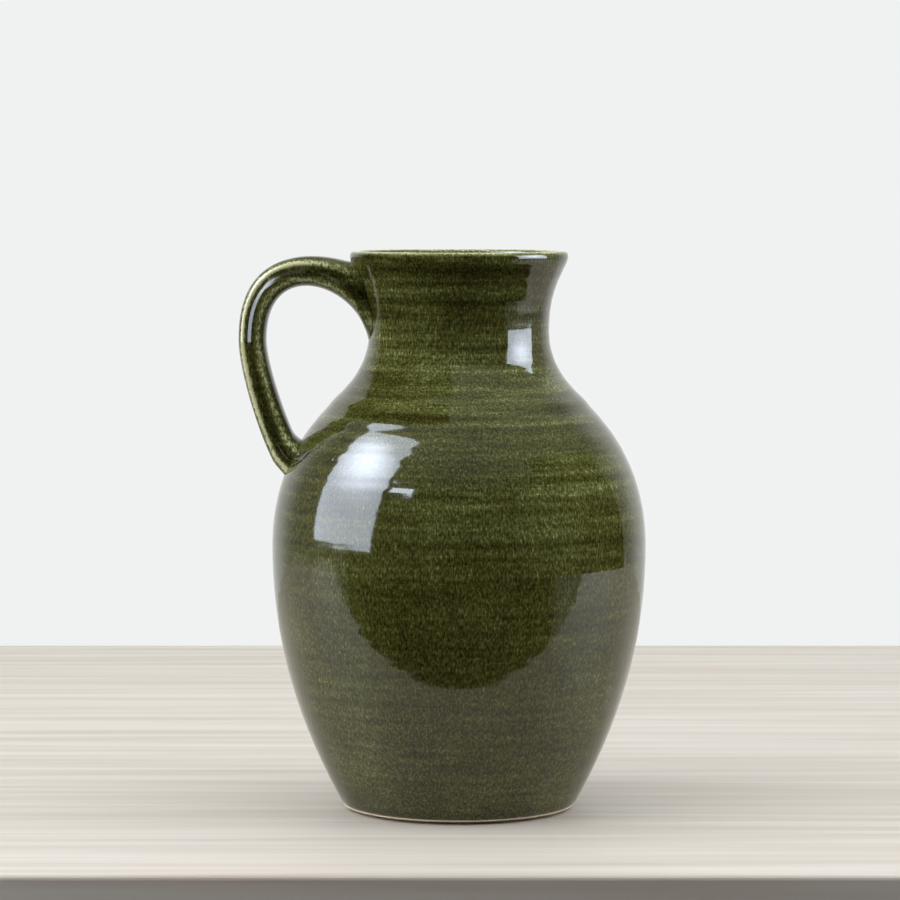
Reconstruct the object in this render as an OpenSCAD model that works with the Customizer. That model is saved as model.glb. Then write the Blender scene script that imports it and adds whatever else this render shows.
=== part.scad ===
// Ceramic pitcher: a wheel-thrown stoneware jug with one pulled handle, glazed inside and out.
// It stands on z = 0 with its turning axis on Z, and the handle points along -X. Sizes are in mm.

/* [Jug] */
// height from the table to the top of the glazed rim
jug_height = 260; // [216:1:312]
// clay radius at the widest part of the belly
belly_radius = 86.6; // [72:0.2:104]
// height of the widest part, as a share of the jug's height
belly_level = 0.472; // [0.43:0.002:0.51]
// where the shoulder turns over, as a share of the way from neck radius to belly radius
shoulder_share = 0.403; // [0.34:0.001:0.46]
// height of that turn, as a share of the jug's height
shoulder_level = 0.726; // [0.7:0.002:0.75]
// slope of the shoulder at that turn, in degrees from level
shoulder_slope = 53.9; // [46:0.1:62]
// clay radius at the narrowest part of the neck
neck_radius = 41.4; // [34.4:0.1:49.8]
// height of the narrowest part, as a share of the jug's height
neck_level = 0.859; // [0.84:0.001:0.88]
// clay radius at the outer edge of the flared rim
rim_radius = 50.2; // [45:0.1:60]

/* [Walls] */
// thickness of the thrown wall
wall_thickness = 5; // [3.8:0.1:6.4]
// thickness of the wall where it ends in the rim
rim_thickness = 4.4; // [3.4:0.1:5.4]
// height of the rounded lip above the end of the wall
lip_height = 2; // [1.2:0.1:2.8]
// thickness of the floor
floor_thickness = 6.5; // [5:0.1:8.5]

/* [Foot] */
// clay radius where the wall leaves the foot
foot_radius = 53.8; // [45:0.1:64]
// slope of the wall where it leaves the foot, in degrees from level
foot_slope = 60.8; // [54:0.1:68]
// height of the bare clay below the edge of the glaze
bare_height = 2.3; // [1.6:0.1:3.4]
// width that the bare edge is cut in under the wall
foot_undercut = 4.2; // [2.5:0.1:6]
// width of the ring that touches the table
foot_ring_width = 9.5; // [7:0.1:12]
// depth of the hollow turned under the floor
foot_recess = 2.4; // [1.4:0.1:4]

/* [Glaze and slip] */
// thickness of the glaze coats
glaze_thickness = 0.5; // [0.4:0.05:0.6]
// thickness of the slip that holds each end of the handle
slip_thickness = 0.35; // [0.3:0.05:0.35]

/* [Handle] */
// clay thickness of the handle, seen from the side
handle_thickness = 12.3; // [10.2:0.1:14.8]
// clay width of the handle at its upper end
handle_width = 25; // [20:0.1:30]
// width of the lower end, as a share of the width of the upper end
handle_taper = 0.84; // [0.7:0.01:1]
// clear gap between the neck and the inside of the handle
finger_gap = 47.7; // [39.7:0.1:57.3]
// depth of the drawn channel along each narrow side
channel_depth = 1.1; // [0.4:0.1:1.6]
// depth of the thumb groove along the outer face
groove_depth = 1.3; // [0:0.1:1.8]
// height where the handle starts in the neck, as a share of the jug's height
upper_root_level = 0.866; // [0.85:0.002:0.88]
// height of the handle's farthest point, as a share of the jug's height
reach_level = 0.846; // [0.82:0.002:0.86]
// height where the handle ends in the shoulder, as a share of the jug's height
lower_root_level = 0.6095; // [0.57:0.0005:0.64]

/* [Joint coils] */
// height of the coil packed between the top of the handle and the neck
upper_coil = 14; // [10:0.1:16]
// how far the upper coil is drawn out along the handle
upper_coil_length = 49; // [40:0.5:54]
// height of the coil around the lower end
lower_coil = 3; // [1.5:0.1:4]
// how far the lower coil is drawn out along the handle
lower_coil_length = 30; // [20:0.5:34]
// extra width of each coil on the narrow sides of the handle
coil_side = 4; // [2:0.1:5]

/* [Hidden] */

clay = [0.76, 0.69, 0.58];
wet_clay = [0.66, 0.58, 0.47];
olive_glaze = [0.24, 0.25, 0.15];
liner_olive = [0.34, 0.35, 0.22];

// ---- lines and curves ----------------------------------------------------------------

function bezier(a, b, c, d, t) =
    pow(1 - t, 3) * a + 3 * pow(1 - t, 2) * t * b + 3 * (1 - t) * t * t * c + pow(t, 3) * d;

// points along one curve; first = 1 leaves out the point shared with the curve before
function curve(a, b, c, d, steps, first = 0) =
    [for (i = [first : steps]) bezier(a, b, c, d, i / steps)];

function heading(line, i) =
    let (step = line[min(i + 1, len(line) - 1)] - line[max(i - 1, 0)]) step / norm(step);

// unit vector to the right of travel
function right_of(line, i) = [heading(line, i)[1], -heading(line, i)[0]];

function part_of(line, from, to) = [for (i = [from : to]) line[i]];

function backwards(line) = [for (i = [len(line) - 1 : -1 : 0]) line[i]];

// length travelled along a line up to point i
function travelled(line, i) = i == 0 ? 0 : travelled(line, i - 1) + norm(line[i] - line[i - 1]);

function from_level(angle) = [cos(angle), sin(angle)];

// ---- the thrown wall, as [radius, height] ----------------------------------------------

wall_top = jug_height - glaze_thickness - lip_height;
foot_edge = [foot_radius, bare_height];
belly = [belly_radius, belly_level * jug_height];
shoulder = [
    neck_radius + shoulder_share * (belly_radius - neck_radius), shoulder_level * jug_height
];
neck = [neck_radius, neck_level * jug_height];
rim = [rim_radius, wall_top];

lower_rise = belly[1] - foot_edge[1];
upper_rise = shoulder[1] - belly[1];
neck_rise = neck[1] - shoulder[1];
rim_rise = rim[1] - neck[1];
up_shoulder = from_level(180 - shoulder_slope);

outer_wall = concat(
    curve(foot_edge, foot_edge + 0.337 * lower_rise * from_level(foot_slope),
        belly - [0, 0.383 * lower_rise], belly, 18),
    curve(belly, belly + [0, 0.632 * upper_rise],
        shoulder - 0.089 * upper_rise * up_shoulder, shoulder, 14, 1),
    curve(shoulder, shoulder + 0.195 * neck_rise * up_shoulder,
        neck - [0, 0.594 * neck_rise], neck, 10, 1),
    curve(neck, neck + [0, 0.642 * rim_rise], rim - [0, 0.152 * rim_rise], rim, 12, 1)
);
wall_end = len(outer_wall) - 1;

// rounded lip, from the outer edge of the rim over to the inner edge
lip_middle = rim - [rim_thickness / 2, 0];
function squared(x) = sign(x) * pow(abs(x), 0.75);
lip = [for (a = [15 : 15 : 180])
    lip_middle + [squared(cos(a)) * rim_thickness / 2, squared(sin(a)) * lip_height]];

// inner wall, from the lip down to where it turns in to the floor
function wall_at(i) =
    let (up = max(0, (outer_wall[i][1] - neck[1]) / rim_rise))
    wall_thickness + (rim_thickness - wall_thickness) * up;
turn_in = min([for (i = [0 : wall_end]) if (outer_wall[i][1] > 0.12 * jug_height) i]);
inner_wall = [for (i = [wall_end - 1 : -1 : turn_in])
    outer_wall[i] - wall_at(i) * right_of(outer_wall, i)];

// rounded corner and flat floor, in to the axis
floor_top = foot_recess + floor_thickness;
corner = inner_wall[len(inner_wall) - 1];
wall_way = heading(inner_wall, len(inner_wall) - 1);
floor_line = curve(corner, corner - 0.62 * (corner[1] - floor_top) / wall_way[1] * wall_way,
    [0.66 * corner[0], floor_top], [0, floor_top], 12, 1);

// the whole clay skin that takes glaze, from the foot over the lip to the middle of the floor
skin = concat(outer_wall, lip, inner_wall, floor_line);
skin_end = len(skin) - 1;
lip_top = wall_end + 6;
lip_inside = wall_end + len(lip);

// the skin with a coat on it; the coat thins out at the bare foot and ends square on the axis
function coat_point(i, thick) =
    i == skin_end
    ? [0, floor_top + thick]
    : skin[i] + thick * min(1, 0.4 + 0.3 * i) * right_of(skin, i);
function coated(thick, from, to) = [for (i = [from : to]) coat_point(i, thick)];

function wall_radius(z) = lookup(z, [for (p = outer_wall) [p[1], p[0]]]);

module turned(outline) {
    rotate_extrude($fn = 180) polygon(outline);
}

// the outside of the jug as one filled solid, coated to a given thickness
module filled_jug(thick) {
    turned(concat(
        [[0, foot_edge[1]]],
        coated(thick, 0, lip_top),
        [[0, wall_top + lip_height + thick]]
    ));
}

module coat(thick, from, to) {
    turned(concat(part_of(skin, from, to), backwards(coated(thick, from, to))));
}

// ---- the handle, as [x, z] in the plane y = 0 --------------------------------------------

// slope of the strap where it leaves the neck and where it meets the shoulder
leaving_slope = 77.3;
meeting_slope = 23;
up_neck = [-cos(leaving_slope), sin(leaving_slope)];
into_shoulder = [cos(meeting_slope), -sin(meeting_slope)];
// how deep in the wall the strap starts and finishes, before it is cut off at the slip
start_depth = 3.4;
finish_depth = 6.3;
// the strap's line before its start, turned down into the wall, and past its finish
buried = [[11, -10], [4.5, -5.5]];
run_on = 6;
reach = neck_radius + finger_gap + handle_thickness / 2 + 2 * glaze_thickness;
start = [start_depth - neck_radius, upper_root_level * jug_height];
farthest = [-reach, reach_level * jug_height];
finish = [
    finish_depth - wall_radius(lower_root_level * jug_height), lower_root_level * jug_height
];

spine = concat(
    [start + buried[0], start + buried[1]],
    curve(start, start + 0.126 * jug_height * up_neck,
        farthest + [0, 0.157 * jug_height], farthest, 20),
    curve(farthest, farthest - [0, 0.0505 * jug_height],
        finish - 0.0495 * jug_height * into_shoulder, finish, 14, 1),
    [finish + run_on * into_shoulder]
);
spine_end = len(spine) - 1;
spine_length = travelled(spine, spine_end);

function from_neck(i) = max(0, travelled(spine, i) - travelled(spine, 2));
function to_shoulder(i) = max(0, spine_length - travelled(spine, i) - run_on);
function feathered(distance, length) = pow(max(0, 1 - distance / length), 2);
function upper_swell(i) = i < 2 ? 0.02 + 0.2 * i : feathered(from_neck(i), upper_coil_length);
function lower_swell(i) = feathered(to_shoulder(i), lower_coil_length);

// one cross-section: swell 0 is the handle, 1 adds the joint coils, grow adds a coat
SIDES = 32;
function section(i, swell, grow) =
    let (
        way = right_of(spine, i),
        share = travelled(spine, i) / spine_length,
        half_width = handle_width / 2 * (1 + (handle_taper - 1) * share) + grow
            + swell * coil_side * (upper_swell(i) + 0.7 * lower_swell(i)),
        outside = handle_thickness / 2 + grow
            + swell * (upper_coil * upper_swell(i) + lower_coil * lower_swell(i)),
        inside = handle_thickness / 2 + grow
            + swell * (0.06 * upper_coil * upper_swell(i) + 0.3 * lower_coil * lower_swell(i))
    )
    [for (k = [0 : SIDES - 1])
        let (
            a = 360 * k / SIDES,
            across = sign(cos(a)) * pow(abs(cos(a)), 0.7),
            along = sign(sin(a)) * pow(abs(sin(a)), 0.7),
            groove = groove_depth * exp(-pow(along / 0.45, 2)) * max(0, across),
            channel = channel_depth * exp(-pow(across / 0.42, 2)) * along,
            p = (across > 0 ? outside : inside) * across - groove
        )
        [spine[i][0] + p * way[0], half_width * along - channel, spine[i][1] + p * way[1]]];

function sections(swell, grow, from, to) = [for (i = [from : to]) section(i, swell, grow)];

// triangles joining ring r to ring r + 1; turned inside out when out is false
function band(r, out) = [for (k = [0 : SIDES - 1])
    let (
        a = r * SIDES + k, b = r * SIDES + (k + 1) % SIDES,
        c = a + SIDES, d = b + SIDES
    )
    each out ? [[a, c, d], [a, d, b]] : [[a, d, c], [a, b, d]]];

function flat(lists) = [for (list = lists) each list];

// a solid drawn through closed rings of points
module drawn(rings) {
    last = len(rings) - 1;
    polyhedron(
        points = flat(rings),
        faces = concat(
            [[for (k = [0 : SIDES - 1]) k]],
            [for (r = [0 : last - 1]) each band(r, true)],
            [[for (k = [SIDES - 1 : -1 : 0]) last * SIDES + k]]
        )
    );
}

// a hollow sleeve between outer and inner rings; closed_first and closed_last say which ends
// have a flat ring-shaped face, and an end without one runs out to a feather edge
module sleeve(outer, inner, closed_first, closed_last) {
    count = len(outer);
    within = count * SIDES;
    polyhedron(
        points = concat(flat(outer), flat(inner)),
        faces = concat(
            [for (r = [0 : count - 2]) each band(r, true)],
            [for (r = [count : 2 * count - 2]) each band(r, false)],
            closed_first ? end_face(0, within, true) : [],
            closed_last ? end_face((count - 1) * SIDES, within + (count - 1) * SIDES, false) : []
        )
    );
}

function end_face(a, b, first) = [for (k = [0 : SIDES - 1])
    let (next = (k + 1) % SIDES)
    each first
        ? [[a + k, a + next, b + next], [a + k, b + next, b + k]]
        : [[a + k, b + next, a + next], [a + k, b + k, b + next]]];

// first and last cross-sections touched by the coils
upper_coil_end = min([for (i = [0 : spine_end]) if (from_neck(i) >= upper_coil_length) i]);
lower_coil_start = max([for (i = [0 : spine_end]) if (to_shoulder(i) >= lower_coil_length) i]);

// everything joined to the wall at one end of the handle: handle and coil together
module upper_root() {
    drawn(sections(1, 0, 0, upper_coil_end));
}

module lower_root() {
    drawn(sections(1, 0, lower_coil_start, spine_end));
}

module slip_patch() {
    difference() {
        intersection() {
            filled_jug(slip_thickness);
            children();
        }
        filled_jug(0);
    }
}

// ---- the pieces ----------------------------------------------------------------------

module thrown_body() {
    color(clay)
    turned(concat(
        [
            [0, foot_recess],
            [foot_radius - foot_undercut - foot_ring_width - 2 * foot_recess, foot_recess],
            [foot_radius - foot_undercut - foot_ring_width, 0],
            [foot_radius - foot_undercut, 0],
            [foot_radius - 0.2 * foot_undercut, 0.55 * bare_height]
        ],
        skin
    ));
}

module pulled_handle() {
    color(clay)
    difference() {
        drawn(sections(0, 0, 0, spine_end));
        filled_jug(slip_thickness);
    }
}

module upper_joint_slip() {
    color(wet_clay) slip_patch() upper_root();
}

module lower_joint_slip() {
    color(wet_clay) slip_patch() lower_root();
}

module upper_joint_coil() {
    color(clay)
    difference() {
        sleeve(sections(1, 0, 0, upper_coil_end), sections(0, 0, 0, upper_coil_end), true, false);
        filled_jug(slip_thickness);
    }
}

module lower_joint_coil() {
    color(clay)
    difference() {
        sleeve(sections(1, 0, lower_coil_start, spine_end),
            sections(0, 0, lower_coil_start, spine_end), false, true);
        filled_jug(slip_thickness);
    }
}

module outside_glaze() {
    color(olive_glaze)
    difference() {
        coat(glaze_thickness, 0, lip_inside);
        upper_root();
        lower_root();
    }
}

module liner_glaze() {
    color(liner_olive) coat(glaze_thickness, lip_inside, skin_end);
}

module handle_glaze() {
    color(olive_glaze)
    difference() {
        sleeve(sections(1, glaze_thickness, 0, spine_end), sections(1, 0, 0, spine_end), true, true);
        filled_jug(glaze_thickness);
    }
}

thrown_body();
pulled_handle();
upper_joint_slip();
lower_joint_slip();
upper_joint_coil();
lower_joint_coil();
outside_glaze();
liner_glaze();
handle_glaze();
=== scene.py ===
"""Stoneware pitcher: thrown body, pulled handle, olive glaze outside and a lighter liner inside."""
import math
import bpy
import bmesh
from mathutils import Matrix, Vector


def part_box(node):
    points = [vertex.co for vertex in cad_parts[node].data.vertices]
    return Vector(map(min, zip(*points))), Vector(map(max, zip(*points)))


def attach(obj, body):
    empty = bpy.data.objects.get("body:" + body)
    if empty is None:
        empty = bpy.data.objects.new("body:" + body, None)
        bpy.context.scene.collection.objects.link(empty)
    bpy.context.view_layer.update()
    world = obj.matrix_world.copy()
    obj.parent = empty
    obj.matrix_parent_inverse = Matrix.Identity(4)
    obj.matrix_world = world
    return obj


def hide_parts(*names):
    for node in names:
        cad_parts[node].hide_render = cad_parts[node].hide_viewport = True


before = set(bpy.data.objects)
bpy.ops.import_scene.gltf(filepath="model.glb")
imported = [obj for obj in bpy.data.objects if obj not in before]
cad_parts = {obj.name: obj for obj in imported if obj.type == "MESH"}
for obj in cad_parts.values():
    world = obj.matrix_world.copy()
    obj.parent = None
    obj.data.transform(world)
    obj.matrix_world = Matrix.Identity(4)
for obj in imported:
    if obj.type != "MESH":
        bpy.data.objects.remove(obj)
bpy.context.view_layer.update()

MM = 0.001
UP = Vector((0, 0, 1))
SIDEWAYS = Vector((0, 1, 0))
SAME_POINT = 0.002 * MM

# The potter's sizes, in mm, as the jug's own plan has them. Radii are to bare clay.
JUG_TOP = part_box("outside_glaze")[1][2] / MM
BELLY_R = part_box("thrown_body")[1][0] / MM
BELLY_Z = 0.472 * JUG_TOP
NECK_R, NECK_Z = 41.4, 0.859 * JUG_TOP
SHOULDER_R, SHOULDER_Z = NECK_R + 0.403 * (BELLY_R - NECK_R), 0.726 * JUG_TOP
RIM_R, RIM_WALL, LIP = 50.2, 4.4, 2.0
FOOT_R, FOOT_Z = 53.8, 2.3
WALL, FLOOR, RECESS = 5.0, 6.5, 2.4
FLOOR_TOP = RECESS + FLOOR
GLAZE = 0.5
WALL_TOP = JUG_TOP - GLAZE - LIP
# the inside starts to turn in towards the floor at this height
TURN_IN_Z = 0.12 * JUG_TOP
# slopes of the wall in degrees; it stands upright at the belly, the neck and the rim
FOOT_SLOPE, SHOULDER_SLOPE, UPRIGHT = 60.8, 126.1, 90
# finger rings: share of their depth, spacing in mm and start of each wave
RINGS = ((0.5, 7.3, 0.7), (0.3, 4.7, 2.1), (0.5, 17.9, 4.0))
NECK_RINGS, BELLY_RINGS, LINER_RINGS = 0.07, 0.026, 0.16
# turns of the wheel are cut into this many steps
OUTSIDE_STEPS, CLAY_STEPS = 256, 192


# ---- curves --------------------------------------------------------------------------

def bezier(a, b, c, d, t):
    a, b, c, d = (Vector(p) for p in (a, b, c, d))
    return (1 - t)**3 * a + 3 * (1 - t)**2 * t * b + 3 * (1 - t) * t * t * c + t**3 * d


def curve(a, b, c, d, steps, first=0):
    return [bezier(a, b, c, d, i / steps) for i in range(first, steps + 1)]


def rise(angle, length):
    return Vector((math.cos(math.radians(angle)), math.sin(math.radians(angle)))) * length


def stretch(start, start_slope, end, end_slope, pulls, steps, first=1):
    """Wall from start to end; pulls are how far its two handles reach, as shares of its height."""
    height = end.y - start.y
    return curve(start, start + rise(start_slope, pulls[0] * height),
                 end - rise(end_slope, pulls[1] * height), end, steps, first)


def right_of(line, i):
    """Unit vector to the right of travel at point i of a line of (radius, height) points."""
    step = line[min(i + 1, len(line) - 1)] - line[max(i - 1, 0)]
    return Vector((step.y, -step.x)).normalized()


def squared(value, power):
    """Push a point of a circle, from -1 to 1, out towards a square; a lower power is squarer."""
    return math.copysign(abs(value)**power, value)


def hump(value, middle, width):
    """1 at the middle, falling away smoothly over about the given width on both sides."""
    return math.exp(-((value - middle) / width)**2)


def clay_skin():
    """Clay outline from the foot up over the lip and down inside to the middle of the floor."""
    foot, belly = Vector((FOOT_R, FOOT_Z)), Vector((BELLY_R, BELLY_Z))
    shoulder, neck = Vector((SHOULDER_R, SHOULDER_Z)), Vector((NECK_R, NECK_Z))
    rim = Vector((RIM_R, WALL_TOP))
    outer = (stretch(foot, FOOT_SLOPE, belly, UPRIGHT, (0.337, 0.383), 110, first=0)
             + stretch(belly, UPRIGHT, shoulder, SHOULDER_SLOPE, (0.632, 0.089), 70)
             + stretch(shoulder, SHOULDER_SLOPE, neck, UPRIGHT, (0.195, 0.594), 34)
             + stretch(neck, UPRIGHT, rim, UPRIGHT, (0.642, 0.152), 34))
    lip, lip_steps, fullness = [], 16, 0.75
    lip_middle = rim - Vector((RIM_WALL / 2, 0))
    for i in range(1, lip_steps + 1):
        across, up = math.cos(math.pi * i / lip_steps), math.sin(math.pi * i / lip_steps)
        lip.append(lip_middle + Vector((squared(across, fullness) * RIM_WALL / 2,
                                        squared(up, fullness) * LIP)))
    inner = []
    for i in range(len(outer) - 3, 0, -2):
        if outer[i].y < TURN_IN_Z:
            break
        flared = max(0, (outer[i].y - neck.y) / (rim.y - neck.y))
        inner.append(outer[i] - (WALL + (RIM_WALL - WALL) * flared) * right_of(outer, i))
    corner = inner[-1]
    way = (inner[-1] - inner[-2]).normalized()
    floor = curve(corner, corner + 0.62 * (FLOOR_TOP - corner.y) / way.y * way,
                  (0.66 * corner.x, FLOOR_TOP), (0, FLOOR_TOP), 40, first=1)
    return outer, lip, inner, floor


OUTER, LIP_LINE, INNER, FLOOR_LINE = clay_skin()
SKIN = OUTER + LIP_LINE + INNER + FLOOR_LINE
LIP_END = len(OUTER) + len(LIP_LINE) - 1
SKIN_END = len(SKIN) - 1


def throwing_rings(z, depth):
    """Height in mm of the finger rings left in the wall at height z."""
    return depth * sum(share * math.sin(2 * math.pi * z / spacing + start)
                       for share, spacing, start in RINGS)


def lifted(first, last, height):
    """Skin points first to last raised by height(i, point) mm."""
    return [SKIN[i] + height(i, SKIN[i]) * right_of(SKIN, i) for i in range(first, last + 1)]


# ---- hand tools ----------------------------------------------------------------------

def clear_selection():
    if bpy.context.object and bpy.context.object.mode != "OBJECT":
        bpy.ops.object.mode_set(mode="OBJECT")
    bpy.ops.object.select_all(action="DESELECT")


def draw_line(name, points):
    """A new piece that is one line, drawn by walking a vertex through points given in mm."""
    clear_selection()
    bpy.ops.mesh.primitive_plane_add(size=MM, location=points[0] * MM)
    piece = bpy.context.object
    piece.name = piece.data.name = name
    bpy.ops.object.transform_apply(location=True, rotation=True, scale=True)
    bpy.ops.object.mode_set(mode="EDIT")
    bpy.ops.mesh.select_all(action="SELECT")
    bpy.ops.mesh.merge(type="CENTER")
    for here, there in zip(points, points[1:]):
        bpy.ops.mesh.extrude_vertices_move(
            TRANSFORM_OT_translate={"value": (there - here) * MM})
    return piece


def throw_on_wheel(name, outline, steps):
    """Spin a (radius, height) outline right round the turning axis."""
    piece = draw_line(name, [Vector((p[0], 0, p[1])) for p in outline])
    bpy.ops.mesh.select_all(action="SELECT")
    bpy.ops.mesh.spin(steps=steps, angle=2 * math.pi, center=(0, 0, 0), axis=(0, 0, 1))
    bpy.ops.mesh.select_all(action="SELECT")
    bpy.ops.mesh.remove_doubles(threshold=SAME_POINT)
    bpy.ops.mesh.normals_make_consistent(inside=False)
    bpy.ops.object.mode_set(mode="OBJECT")
    bpy.ops.object.shade_smooth()
    return piece


def finish_modifier(piece, kind, **settings):
    clear_selection()
    piece.select_set(True)
    bpy.context.view_layer.objects.active = piece
    modifier = piece.modifiers.new(kind.lower(), kind)
    for key, value in settings.items():
        setattr(modifier, key, value)
    bpy.ops.object.modifier_apply(modifier=modifier.name)


# ---- the thrown pieces ---------------------------------------------------------------

def make_outside_glaze():
    """Glossy coat: full thickness on the wall, rolled to a bead where it stops above the foot."""
    def surface(i, p):
        bead = math.sqrt(min(1, (i + 0.15) / 2.5))
        # the belly was smoothed with a rib, so its rings are shallower than the neck's
        unsmoothed = min(1, max(0, (p.y - BELLY_Z) / (SHOULDER_Z - BELLY_Z)))
        depth = BELLY_RINGS + (NECK_RINGS - BELLY_RINGS) * unsmoothed
        # the rings fade out over the points next to the foot and the lip
        from_foot, from_lip = min(1, i / 12), min(1, (LIP_END - i) / 22)
        return GLAZE * bead + throwing_rings(p.y, depth) * from_foot * from_lip
    outside = lifted(0, LIP_END, surface)
    under = [SKIN[i] for i in range(LIP_END, 0, -6)] + [SKIN[0]]
    return throw_on_wheel("outside_glaze_coat", outside + under + [outside[0]], OUTSIDE_STEPS)


def make_liner_glaze():
    """Liner coat, poured in and out, with deeper finger rings than the outside."""
    def surface(i, p):
        from_lip, from_middle = min(1, (i - LIP_END) / 10), min(1, (SKIN_END - i) / 6)
        # the rings inside also stand a little further apart
        return GLAZE + throwing_rings(p.y * 0.8, LINER_RINGS) * from_lip * from_middle
    inside = lifted(LIP_END, SKIN_END, surface)
    inside[-1] = Vector((0, inside[-1].y))
    back = [SKIN[i] for i in range(SKIN_END, LIP_END, -4)] + [SKIN[LIP_END]]
    return throw_on_wheel("liner_glaze_coat", inside + back + [inside[0]], CLAY_STEPS)


def make_thrown_body():
    """Bare fired clay: it shows at the trimmed foot and under the jug."""
    contact = FOOT_R - 5.2
    inside_ring = contact - 8.5
    # the edge of the foot is trimmed clear of the table by this much
    trimmed = 1.45
    # the hollow keeps shallow marks of the turning tool, 3 mm apart
    hollow = [(r, RECESS + 0.12 * math.sin(r * 2.1) * min(1, r / 3))
              for r in (0.9 * k for k in range(38))]
    foot = [(inside_ring - 2 * RECESS, RECESS), (inside_ring - 1.2, 0.5),
            (inside_ring - 0.3, 0.08), (inside_ring + 0.6, 0), (contact - 0.7, 0),
            (contact - 0.1, 0.12), (contact, 0.8), (contact + 0.25, 1.3),
            (contact + 0.9, trimmed), (FOOT_R - 0.9, trimmed), (FOOT_R - 0.3, 1.5),
            (FOOT_R + 0.1, 1.68), (FOOT_R + 0.2, 2.0)]
    clay = [SKIN[i] for i in range(0, SKIN_END, 4)] + [SKIN[SKIN_END]]
    return throw_on_wheel("thrown_clay_body", hollow + foot + clay, CLAY_STEPS)


# middle of a lighter golden patch on the right of the belly, in m
BLOOM = Vector((0.045, -0.07, 0.142))


def thin_glaze_and_painted_reflection(vertex):
    """Glaze is thinner on the crests of the throwing rings and over the lip; a band just under the
    neck is made lighter as a painted reflection of the room.
    """
    height = vertex.co.z / MM
    usual = 0.42
    rings = throwing_rings(height, NECK_RINGS) * (0.6 + 0.8 * hump(height, SHOULDER_Z, 22))
    # painted reflection: the room's pale sheen mirrored in the glaze just under the neck, laid in
    # as lighter colour
    painted_reflection_under_neck = 0.13 * hump(height, 0.81 * JUG_TOP, 15)
    bloom = 0.24 * hump((vertex.co - BLOOM).length / MM, 0, 32)
    over_lip = 0.8 * max(0, 1 - (JUG_TOP - height) / 1.6)
    return usual + rings + painted_reflection_under_neck + bloom + over_lip


outside_glaze = make_outside_glaze()
liner_glaze = make_liner_glaze()
thrown_body = make_thrown_body()


# ---- the pulled handle ---------------------------------------------------------------

# back and finger side of the strap in mm, each from the neck over the top to the shoulder
BACK_UPPER = ((-49.0, 256.2), (-70, 261.8), (-103.4, 261.8), (-103.0, 219))
BACK_LOWER = ((-103.0, 219), (-103.0, 205), (-93.4, 172), (-84.6, 157.4))
FINGER_UPPER = ((-42.3, 219.5), (-47.5, 245.4), (-89.5, 258), (-89.5, 219))
FINGER_LOWER = ((-89.5, 219), (-89.5, 209), (-81.8, 185), (-75.8, 172.6))
STRAP_W, STRAP_TAPER = 25.0, 0.84
# channel on each narrow side: its place from -1 on the finger side to 1 on the back
CHANNEL_MIDDLE = 0.28
SIDES = 64

# place of each point of the strap's outline, from -1 to 1 across its thickness and its width
TURNS = [2 * math.pi * k / SIDES for k in range(SIDES)]
ACROSS = [squared(math.cos(turn), 0.72) for turn in TURNS]
ALONG = [squared(math.sin(turn), 0.72) for turn in TURNS]


def strap_section():
    """Closed outline of the strap, with a shallow thumb groove down its back."""
    return [(across - 0.2 * hump(along, 0, 0.45) * max(0, across), along)
            for across, along in zip(ACROSS, ALONG)]


def press_channels(piece, rings):
    """Press a channel along each narrow side, deep and wide where it meets the neck.

    It lies nearer the back, so the finger side is left as the broader of its two ridges.
    """
    for vertex in piece.data.vertices:
        ring, k = divmod(vertex.index, SIDES)
        share = ring / (len(rings) - 1)
        near_neck = max(0, 1 - share / 0.22)**1.5
        depth = 1.5 + 4.2 * near_neck
        width = 0.22 + 0.26 * near_neck
        middle = CHANNEL_MIDDLE * (1 - near_neck)
        vertex.co.y -= depth * MM * ALONG[k] * hump(ACROSS[k], middle, width)


def mark_glaze_and_painted_light(piece, thinness_with_painted_light):
    """Store at each point how far the glaze thins, from 0 thick to 1 thinned, with painted
    highlights, painted shade and a painted reflection added in.
    """
    layer = piece.data.attributes.new("thin", "FLOAT", "POINT")
    for vertex, spot in zip(piece.data.vertices, layer.data):
        spot.value = thinness_with_painted_light(vertex)


def thin_ridges_and_painted_light(vertex):
    """Glaze runs off the two ridges of each narrow side and gathers in the channel; both ridges are
    partly thinner glaze and partly a painted highlight, and the finger-side edge is darkened as
    painted shade.
    """
    ring, k = divmod(vertex.index, SIDES)
    across, along = ACROSS[k], ALONG[k]
    usual = 0.36
    # the back ridge is cream from thinner glaze plus a painted highlight; the strap was smoothed
    # into the neck over its first rings, so no ridge stands there
    back_ridge = 1.5 * hump(across, 0.6, 0.17) * (0.15 + 0.85 * min(1, ring / 10))
    # the finger-side ridge is lighter from thinner glaze plus a painted highlight
    finger_ridge = 0.8 * hump(across, -0.5, 0.24)
    # glaze pools darker in the channel; the second hump darkens the finger-side edge as painted
    # shade where the side turns away
    pooled_glaze_and_painted_edge_shade = 0.35 * hump(across, 0.05, 0.2) + 0.3 * hump(across, -0.95, 0.15)
    return usual + (back_ridge + finger_ridge - pooled_glaze_and_painted_edge_shade) * abs(along)


def strap_rings():
    """(middle, direction to the back, half height, half width) of each cross-section, in mm."""
    rings = []
    upper, lower = 22, 16
    stations = [(BACK_UPPER, FINGER_UPPER, i / upper) for i in range(upper)]
    stations += [(BACK_LOWER, FINGER_LOWER, i / lower) for i in range(lower + 1)]
    for k, (back, finger, t) in enumerate(stations):
        b, f = bezier(*back, t), bezier(*finger, t)
        share = k / (len(stations) - 1)
        half_w = STRAP_W / 2 * (1 + (STRAP_TAPER - 1) * share) + GLAZE
        at_neck, at_shoulder = max(0, 1 - share / 0.2)**2, max(0, 1 - (1 - share) / 0.15)**2
        half_w += 2.6 * at_neck + 1.6 * at_shoulder
        middle, reach = (b + f) / 2, (b - f) / 2
        rings.append((Vector((middle.x, 0, middle.y)),
                      Vector((reach.x, 0, reach.y)).normalized(), reach.length, half_w))
    return rings


def turn_between(a, b):
    """Angle about +Y that carries direction a to direction b."""
    return math.atan2(a.cross(b).y, a.dot(b))


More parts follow.
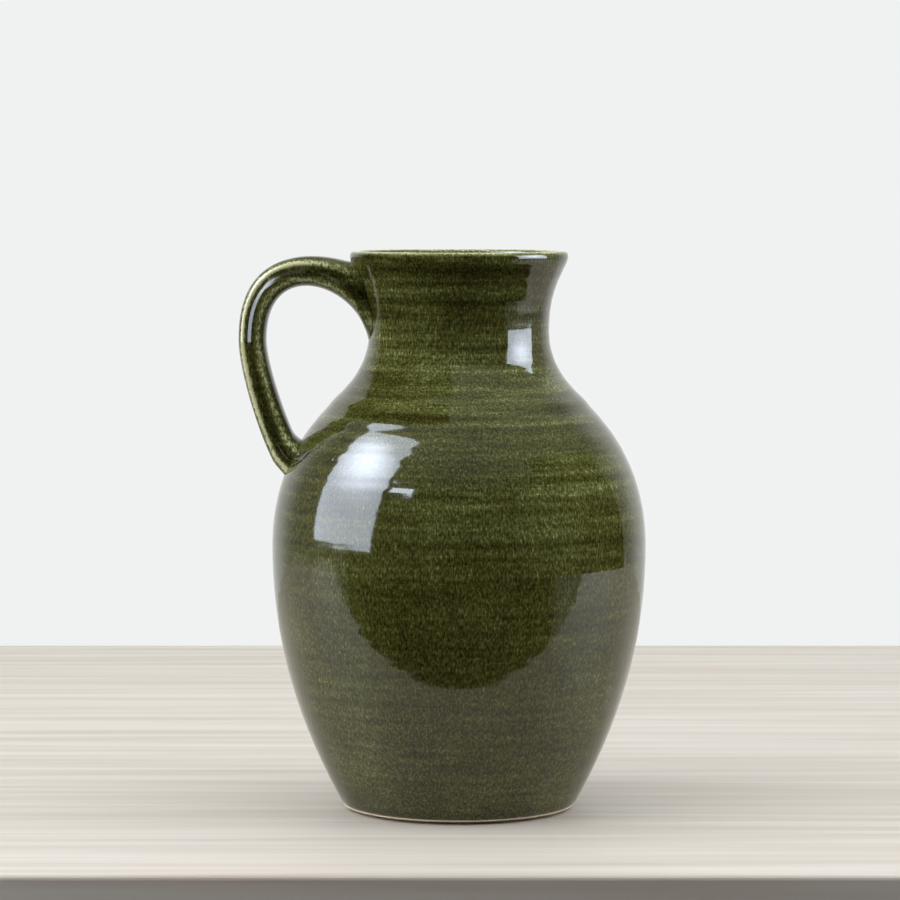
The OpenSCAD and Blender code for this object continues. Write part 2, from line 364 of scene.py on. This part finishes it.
def next_ring(last, ring):
    """Pull the strap on to its next cross-section: extrude, turn, then widen or narrow."""
    middle, way, half_h, half_w = ring
    bpy.ops.mesh.extrude_region_move(
        TRANSFORM_OT_translate={"value": (middle - last[0]) * MM})
    # with no window the operator turns the other way
    bpy.ops.transform.rotate(value=-turn_between(last[1], way), orient_axis="Y",
                             center_override=middle * MM)
    own_axes = (tuple(way), tuple(SIDEWAYS), tuple(way.cross(SIDEWAYS)))
    bpy.ops.transform.resize(value=(half_h / last[2], half_w / last[3], 1),
                             orient_type="GLOBAL", orient_matrix=own_axes,
                             orient_matrix_type="GLOBAL",
                             center_override=middle * MM)


def widened(ring, by, shift):
    """Cross-section by mm larger all round and moved by shift."""
    middle, way, half_h, half_w = ring
    return (middle + shift, way, half_h + by, half_w + by)


def press_on(piece, group, count, wall):
    """Press the first and the last count cross-sections of the strap on to a wall."""
    total = len(piece.data.vertices)
    ends = [*range(count * SIDES), *range(total - count * SIDES, total)]
    piece.vertex_groups.new(name=group).add(ends, 1.0, "REPLACE")
    finish_modifier(piece, "SHRINKWRAP", target=wall, vertex_group=group,
                    wrap_method="NEAREST_SURFACEPOINT", wrap_mode="ON_SURFACE", offset=0.0)


def close_ends(piece):
    """Fill the first and the last cross-section, so that the strap is a closed shell."""
    total = len(piece.data.vertices)
    bpy.ops.object.mode_set(mode="EDIT")
    for start in (0, total - SIDES):
        bpy.ops.mesh.select_all(action="DESELECT")
        shape = bmesh.from_edit_mesh(piece.data)
        shape.verts.ensure_lookup_table()
        for k in range(start, start + SIDES):
            shape.verts[k].select = True
        shape.select_flush(True)
        bmesh.update_edit_mesh(piece.data)
        bpy.ops.mesh.edge_face_add()
    bpy.ops.mesh.select_all(action="SELECT")
    bpy.ops.mesh.normals_make_consistent(inside=False)
    bpy.ops.object.mode_set(mode="OBJECT")


def make_handle():
    """Pulled strap with its glaze: drawn as one section, pulled along, then pressed on."""
    rings = strap_rings()
    # both ends swell a little and run on into the wall
    into_neck, into_shoulder, stay = Vector((0.5, 0, 0)), Vector((0.4, 0, -0.3)), Vector()
    rings = ([widened(rings[0], 2.2, into_neck), widened(rings[0], 0.9, stay)] + rings[1:-1]
             + [widened(rings[-1], 0.7, stay), widened(rings[-1], 1.8, into_shoulder)])
    middle, way, half_h, half_w = rings[0]
    section = [middle + way * a * half_h + SIDEWAYS * b * half_w for a, b in strap_section()]
    piece = draw_line("glazed_handle", section + [section[0]])
    bpy.ops.mesh.select_all(action="SELECT")
    bpy.ops.mesh.remove_doubles(threshold=SAME_POINT)
    for last, ring in zip(rings, rings[1:]):
        next_ring(last, ring)
    bpy.ops.object.mode_set(mode="OBJECT")
    press_channels(piece, rings)
    mark_glaze_and_painted_light(piece, thin_ridges_and_painted_light)
    press_on(piece, "on_the_glaze", 2, outside_glaze)
    press_on(piece, "sunk_to_the_clay", 1, thrown_body)
    close_ends(piece)
    finish_modifier(piece, "SUBSURF", levels=2, render_levels=2)
    bpy.ops.object.shade_smooth()
    return piece


handle = make_handle()
mark_glaze_and_painted_light(outside_glaze, thin_glaze_and_painted_reflection)
mark_glaze_and_painted_light(liner_glaze, thin_glaze_and_painted_reflection)


# ---- materials -----------------------------------------------------------------------

def srgb(code):
    """sRGB hex to linear RGBA."""
    channels = [int(code[i:i + 2], 16) / 255 for i in (0, 2, 4)]
    return tuple(c / 12.92 if c <= 0.04045 else ((c + 0.055) / 1.055)**2.4
                 for c in channels) + (1,)


def add(tree, kind, settings=None, **links):
    """One shader node with its settings and links.

    A setting goes to a property, a socket or, as stops, the colour ramp. A link goes to a socket.
    Sockets go by name, or by place as in0, in1 and so on.
    """
    node = tree.nodes.new("ShaderNode" + kind)

    def socket(key):
        return node.inputs[int(key[2:]) if key[2:].isdigit() else key.replace("_", " ")]

    for key, value in (settings or {}).items():
        if key == "stops":
            for place, _ in value[1:-1]:
                node.color_ramp.elements.new(place)
            for element, (place, colour) in zip(node.color_ramp.elements, value):
                element.position = place
                element.color = srgb(colour)
        elif hasattr(node, key):
            setattr(node, key, value)
        else:
            socket(key).default_value = value
    for key, output in links.items():
        tree.links.new(output, socket(key))
    return node


def new_material(name):
    material = bpy.data.materials.new(name)
    material.use_nodes = True
    material.node_tree.nodes.clear()
    return material, material.node_tree


def per_mm(size):
    """Texture scale that makes a pattern's features about size mm."""
    return 1 / (size * MM)


def glossy_olive(name, tones, rough):
    """Reduction-style olive stoneware glaze, poured and fired glossy.

    Dark brown-olive where it lies thick, yellow-green where it thins, with fine drips that run
    down the wall less than a millimetre apart and brush and throwing lines that run round it.
    """
    material, tree = new_material(name)
    place = add(tree, "TexCoord").outputs["Object"]
    patterns = {}
    for what, size, stretched, detail in (("drips", 0.8, (1, 1, 0.42), 2.0),
                                          ("lines", 3.4, (0.045, 0.045, 1), 5.0),
                                          ("clouds", 34, (1, 1, 1), 3.0)):
        at = add(tree, "Mapping", {"Scale": stretched}, Vector=place).outputs["Vector"]
        patterns[what] = add(tree, "TexNoise", {"Scale": per_mm(size), "Detail": detail,
                                                "Roughness": 0.65}, Vector=at).outputs["Fac"]
    # this stored value is glaze thinness with painted light mixed in: highlights on the handle's
    # ridges, shade on its finger-side edge, a reflection under the neck
    thin = add(tree, "Attribute", {"attribute_name": "thin"}).outputs["Fac"]
    # brush lines are strongest from the shoulder up
    height = add(tree, "SeparateXYZ", Vector=place).outputs["Z"]
    upper = add(tree, "MapRange", {"From Min": 0.1, "From Max": 0.19, "To Min": 0.45,
                                   "To Max": 1.05}, Value=height).outputs["Result"]
    around_nought = add(tree, "Math", {"operation": "SUBTRACT", "in1": 0.5},
                        in0=patterns["lines"]).outputs[0]
    total = add(tree, "Math", {"operation": "MULTIPLY"}, in0=around_nought, in1=upper).outputs[0]
    for layer, weight in ((patterns["drips"], 1.3), (patterns["clouds"], 0.4), (thin, 0.62)):
        total = add(tree, "Math", {"operation": "MULTIPLY_ADD", "in1": weight}, in0=layer,
                    in2=total).outputs[0]
    shade = add(tree, "MapRange", {"From Min": 0.68, "From Max": 1.68}, Value=total
                ).outputs["Result"]
    colour = add(tree, "ValToRGB", {"stops": tones}, Fac=shade).outputs["Color"]
    # dust and bubbles under the glaze leave pimples about 1.4 mm across, some 24 mm apart
    cells = add(tree, "TexVoronoi", {"Scale": per_mm(24), "Randomness": 1.0}, Vector=place
                ).outputs["Distance"]
    pimple = add(tree, "MapRange", {"From Min": 0.03, "From Max": 0.0,
                                    "interpolation_type": "SMOOTHSTEP"}, Value=cells
                 ).outputs["Result"]
    wobble = add(tree, "TexNoise", {"Scale": per_mm(7), "Detail": 3.0}, Vector=place).outputs["Fac"]
    relief = add(tree, "Math", {"operation": "MULTIPLY_ADD", "in1": 2.5}, in0=pimple, in2=wobble
                 ).outputs[0]
    bump = add(tree, "Bump", {"Strength": 0.3, "Distance": 0.12 * MM}, Height=relief)
    shader = add(tree, "BsdfPrincipled", {"Roughness": rough, "IOR": 1.52},
                 Base_Color=colour, Normal=bump.outputs["Normal"])
    add(tree, "OutputMaterial", Surface=shader.outputs["BSDF"])
    return material


def bare_stoneware():
    """Buff stoneware, trimmed on the wheel and fired bare: matt, slightly gritty."""
    material, tree = new_material("bare_buff_stoneware")
    place = add(tree, "TexCoord").outputs["Object"]
    grog = add(tree, "TexNoise", {"Scale": per_mm(0.9), "Detail": 4.0}, Vector=place
               ).outputs["Fac"]
    colour = add(tree, "ValToRGB", {"stops": [(0.3, "CDBA9E"), (0.7, "EADCC4")]}, Fac=grog
                 ).outputs["Color"]
    bump = add(tree, "Bump", {"Strength": 0.4, "Distance": 0.15 * MM}, Height=grog)
    shader = add(tree, "BsdfPrincipled", {"Roughness": 0.85, "IOR": 1.5},
                 Base_Color=colour, Normal=bump.outputs["Normal"])
    add(tree, "OutputMaterial", Surface=shader.outputs["BSDF"])
    return material


# the cream top stop is where the handle's back ridge lands: glaze run thinner with a painted
# highlight on it
OLIVE_TONES = [(0.0, "16140A"), (0.27, "312F12"), (0.5, "4C4D22"), (0.72, "6C7040"),
               (0.88, "A2A573"), (1.0, "DAD7AC")]
LINER_TONES = [(0.0, "201D0C"), (0.27, "3C3A1B"), (0.5, "56562C"), (0.72, "737546"),
               (0.88, "A2A573"), (1.0, "DAD7AC")]
olive_glaze = glossy_olive("glossy_olive_stoneware_glaze", OLIVE_TONES, 0.07)
liner_olive = glossy_olive("glossy_liner_glaze", LINER_TONES, 0.12)
clay = bare_stoneware()


def dress(piece, material):
    piece.data.materials.clear()
    piece.data.materials.append(material)


dress(outside_glaze, olive_glaze)
dress(handle, olive_glaze)
dress(liner_glaze, liner_olive)
dress(thrown_body, clay)
for node in ("upper_joint_slip", "lower_joint_slip"):
    for slot in bpy.data.objects[node].material_slots:
        slot.material = clay

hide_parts("outside_glaze")
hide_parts("liner_glaze")
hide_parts("thrown_body")
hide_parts("handle_glaze", "pulled_handle", "upper_joint_coil", "lower_joint_coil")
for piece in (outside_glaze, liner_glaze, thrown_body, handle):
    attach(piece, "root")


# ---- table, light and camera ---------------------------------------------------------

def make_table():
    """Pale limed board that the jug stands on."""
    near, far, length, thickness, top = -0.176, 0.608, 2.4, 0.03, -0.0001
    clear_selection()
    bpy.ops.mesh.primitive_cube_add(size=1, location=(0, (near + far) / 2, top - thickness / 2))
    table = bpy.context.object
    table.name = "pale_table"
    table.scale = (length, far - near, thickness)
    bpy.ops.object.transform_apply(location=True, rotation=True, scale=True)
    finish_modifier(table, "BEVEL", width=0.002, segments=3)
    dress(table, limed_board())


def limed_board():
    """Sanded softwood, limed white: matt, with faint long grain."""
    material, tree = new_material("pale_limed_board")
    place = add(tree, "TexCoord").outputs["Object"]
    grain_at = add(tree, "Mapping", {"Scale": (0.04, 1, 1)}, Vector=place).outputs["Vector"]
    grain = add(tree, "TexNoise", {"Scale": per_mm(12), "Detail": 5.0}, Vector=grain_at
                ).outputs["Fac"]
    colour = add(tree, "ValToRGB", {"stops": [(0.3, "BBAEA2"), (0.65, "CCC5BD")]}, Fac=grain
                 ).outputs["Color"]
    shader = add(tree, "BsdfPrincipled", {"Roughness": 0.6}, Base_Color=colour)
    add(tree, "OutputMaterial", Surface=shader.outputs["BSDF"])
    return material


# height on the jug, in m, from which the windows and lights are placed
MIRROR_HEIGHT = 0.16
COOL_WHITE = (0.93, 0.96, 1.0)


def toward(azimuth, elevation):
    """Unit direction; azimuth is measured from the camera's side towards +X, in degrees."""
    a, e = math.radians(azimuth), math.radians(elevation)
    return Vector((math.sin(a) * math.cos(e), -math.cos(a) * math.cos(e), math.sin(e)))


def window(name, facing, distance, middle, edge, fade, corners):
    """Bright upright pane as the glaze mirrors it, its corners (azimuth, elevation) in degrees.

    Its brightness falls from middle to edge over fade metres from the pane's own centre.
    """
    out = toward(facing, 0)
    eye = Vector((0, 0, MIRROR_HEIGHT))
    spots = []
    for corner in corners:
        way = toward(*corner)
        spots.append(eye + way * (distance / way.dot(out)))
    pane = draw_line(name, [spot / MM for spot in spots])
    bpy.ops.mesh.select_all(action="SELECT")
    bpy.ops.mesh.edge_face_add()
    bpy.ops.object.mode_set(mode="OBJECT")
    material, tree = new_material(name)
    place = add(tree, "TexCoord").outputs["Object"]
    centre = sum(spots, Vector()) / len(spots)
    away = add(tree, "VectorMath", {"operation": "DISTANCE", "in1": centre}, in0=place
               ).outputs["Value"]
    power = add(tree, "MapRange", {"From Max": fade, "To Min": middle, "To Max": edge,
                                   "interpolation_type": "SMOOTHSTEP"}, Value=away
                ).outputs["Result"]
    light = add(tree, "Emission", {"Color": srgb("E4EEFF")}, Strength=power)
    add(tree, "OutputMaterial", Surface=light.outputs["Emission"])
    material.cycles.emission_sampling = "NONE"
    dress(pane, material)
    mirrored_only(pane)


def mirrored_only(card):
    """A card that only the glaze's reflections see."""
    for ray in ("camera", "diffuse", "transmission", "shadow", "volume_scatter"):
        setattr(card, "visible_" + ray, False)


def daylight(name, azimuth, elevation, distance, size, power):
    """Soft light of a window, kept out of the reflections."""
    target = Vector((0, 0, MIRROR_HEIGHT))
    place = target + distance * toward(azimuth, elevation)
    clear_selection()
    bpy.ops.object.light_add(type="AREA", location=place)
    light = bpy.context.object
    light.name = name
    light.rotation_euler = (target - place).to_track_quat("-Z", "Y").to_euler()
    light.data.size = size
    light.data.energy = power
    light.data.color = COOL_WHITE
    light.visible_camera = False
    light.visible_glossy = False


def black_flag(name, radius, first, last, low, high):
    """Black card bent round the jug that keeps a window out of part of the glaze.

    It runs from azimuth first to last, in degrees, and only mirrored light meets it.
    """
    foot = toward(first, 0) * radius
    card = draw_line(name, [(foot + UP * low) / MM, (foot + UP * high) / MM])
    bpy.ops.mesh.select_all(action="SELECT")
    # the spin operator turns clockwise
    bpy.ops.mesh.spin(steps=24, angle=math.radians(first - last), center=(0, 0, 0), axis=(0, 0, 1))
    bpy.ops.object.mode_set(mode="OBJECT")
    material, tree = new_material(name)
    shader = add(tree, "BsdfDiffuse", {"Color": srgb("14120D")})
    add(tree, "OutputMaterial", Surface=shader.outputs["BSDF"])
    dress(card, material)
    mirrored_only(card)


def room_light():
    """Pale studio around the jug and a dim room in front of it, as the glaze mirrors them."""
    world = bpy.data.worlds.new("studio")
    bpy.context.scene.world = world
    world.use_nodes = True
    tree = world.node_tree
    tree.nodes.clear()
    parts = add(tree, "SeparateXYZ", Vector=add(tree, "TexCoord").outputs["Generated"])
    x, y, z = (parts.outputs[axis] for axis in "XYZ")
    front = add(tree, "Math", {"operation": "MULTIPLY", "in1": -1.0}, in0=y).outputs[0]
    azimuth = add(tree, "Math", {"operation": "ARCTAN2"}, in0=x, in1=front).outputs[0]
    turn = add(tree, "Math", {"operation": "ABSOLUTE"}, in0=azimuth).outputs[0]
    # the dim room: a doorway's straight edge low on the right, a wider opening above it
    wider = add(tree, "MapRange", {"From Min": -0.03, "From Max": 0.03, "To Max": math.radians(36),
                                   "interpolation_type": "SMOOTHSTEP"}, Value=z).outputs["Result"]
    right_edge = add(tree, "Math", {"operation": "SUBTRACT"}, in0=azimuth, in1=wider).outputs[0]
    share = {}
    for part, across, low, high in (
            ("past_right", right_edge, math.radians(60), math.radians(63)),
            ("past_left", azimuth, math.radians(-70), math.radians(-75)),
            ("behind", turn, math.radians(120), math.radians(145)),
            ("upper_room", z, -0.15, 0.35),
            ("ceiling", z, 0.5, 0.85)):
        share[part] = add(tree, "MapRange", {"From Min": low, "From Max": high,
                                             "interpolation_type": "SMOOTHSTEP"}, Value=across
                          ).outputs["Result"]
    outside = add(tree, "Math", {"operation": "MAXIMUM"}, in0=share["past_right"],
                  in1=share["past_left"]).outputs[0]
    # a Mix node's two colours are its sockets 6 and 7, and the result is its output 2
    dim = add(tree, "Mix", {"data_type": "RGBA", "in6": srgb("1E1A14"), "in7": srgb("3A3A36")},
              Factor=share["upper_room"]).outputs[2]
    # side walls, greyer than the studio behind the jug
    walls = add(tree, "Mix", {"data_type": "RGBA", "in6": srgb("A3A49A"), "in7": srgb("F0F1F0")},
                Factor=share["behind"]).outputs[2]
    around = add(tree, "Mix", {"data_type": "RGBA"}, Factor=outside, in6=dim, in7=walls).outputs[2]
    sky = add(tree, "Mix", {"data_type": "RGBA", "in7": srgb("B6BCB4")},
              Factor=share["ceiling"], in6=around).outputs[2]
    seen = add(tree, "LightPath").outputs["Is Camera Ray"]
    backdrop = add(tree, "Mix", {"data_type": "RGBA", "in7": srgb("F0F2F1")}, Factor=seen, in6=sky
                   ).outputs[2]
    back = add(tree, "Background", Color=backdrop)
    add(tree, "OutputWorld", Surface=back.outputs["Background"])


def set_camera():
    """Long lens a little above the jug's lip, tipped down at its belly."""
    distance, height, tip = 1.72, 0.290, 4.08
    clear_selection()
    bpy.ops.object.camera_add(location=(-0.0042, -distance, height),
                              rotation=(math.radians(90 - tip), 0, 0))
    camera = bpy.context.object
    camera.name = "camera"
    camera.data.lens = 148.0
    camera.data.sensor_width = 36
    bpy.context.scene.camera = camera


make_table()
room_light()
window("left_window", facing=-76, distance=1.3, middle=25, edge=8, fade=0.8,
       corners=[(-97, -2), (-54, -2), (-46, 61), (-106, 50)])
window("right_window", facing=86, distance=1.3, middle=19, edge=9, fade=0.5,
       corners=[(64, -2), (104, -2), (104, 34), (64, 34)])
window("long_lamp", facing=-40, distance=2.0, middle=14, edge=14, fade=1.0,
       corners=[(-48, 26.5), (-32, 26.5), (-32, 34), (-48, 34)])
daylight("left_daylight", azimuth=-72, elevation=30, distance=1.4, size=1.6, power=18)
daylight("right_daylight", azimuth=86, elevation=30, distance=1.4, size=1.4, power=13)
daylight("overhead", azimuth=0, elevation=76, distance=1.6, size=2.2, power=18)
black_flag("neck_flag", radius=0.072, first=-84, last=-8, low=0.206, high=0.34)
black_flag("belly_flag", radius=0.108, first=36, last=76, low=0.112, high=0.208)
set_camera()
bpy.context.scene.view_settings.view_transform = "Standard"
